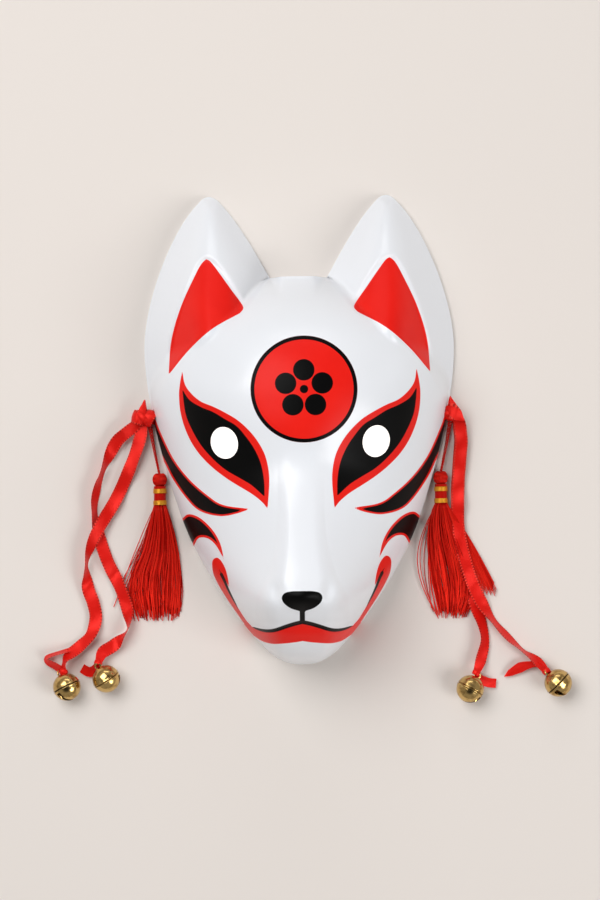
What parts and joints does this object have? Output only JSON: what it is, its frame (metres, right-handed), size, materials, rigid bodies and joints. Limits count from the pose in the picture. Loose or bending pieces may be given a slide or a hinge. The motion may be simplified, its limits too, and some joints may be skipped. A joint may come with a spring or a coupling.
{
  "type": "kitsune mask",
  "caption": "Moulded fox festival mask with upright ears, long snout, open eyes and a hollow back, tied with satin ribbons that end in bells, and hung with tassels.",
  "frame": {"origin": "on the plane the rim lies on, under the middle of the shell's own box", "axes": "+Y from the chin to the ears, +Z out of the face, +X to the right when the face is seen with the ears up"},
  "size_m": [0.2899, 0.2795, 0.091],
  "materials": {
    "white_lacquer": "satin gloss white with painted red and black markings",
    "red_satin": "woven satin ribbon with a fine selvage",
    "red_thread": "twisted silky thread",
    "gold_thread": "wound metallic gold thread",
    "brass": "polished, lightly tarnished"
  },
  "bodies": {
    "root": {"mask_shell": "white_lacquer", "left_ribbon_knot": "red_satin", "right_ribbon_knot": "red_satin", "left_outer_ribbon": "red_satin", "left_inner_ribbon": "red_satin", "right_inner_ribbon": "red_satin", "right_outer_ribbon": "red_satin", "left_outer_ribbon_end": "red_satin", "left_inner_ribbon_end": "red_satin", "right_inner_ribbon_end": "red_satin", "right_outer_ribbon_end": "red_satin", "left_outer_bell": "brass", "left_inner_bell": "brass", "right_inner_bell": "brass", "right_outer_bell": "brass", "left_tassel_cord": "red_thread", "right_tassel_cord": "red_thread", "left_tassel_bead": "red_thread", "right_tassel_bead": "red_thread", "left_tassel_skirt": "red_thread", "right_tassel_skirt": "red_thread", "left_tassel_upper_gold_band": "gold_thread", "left_tassel_lower_gold_band": "gold_thread", "right_tassel_upper_gold_band": "gold_thread", "right_tassel_lower_gold_band": "gold_thread"}
  },
  "joints": []
}
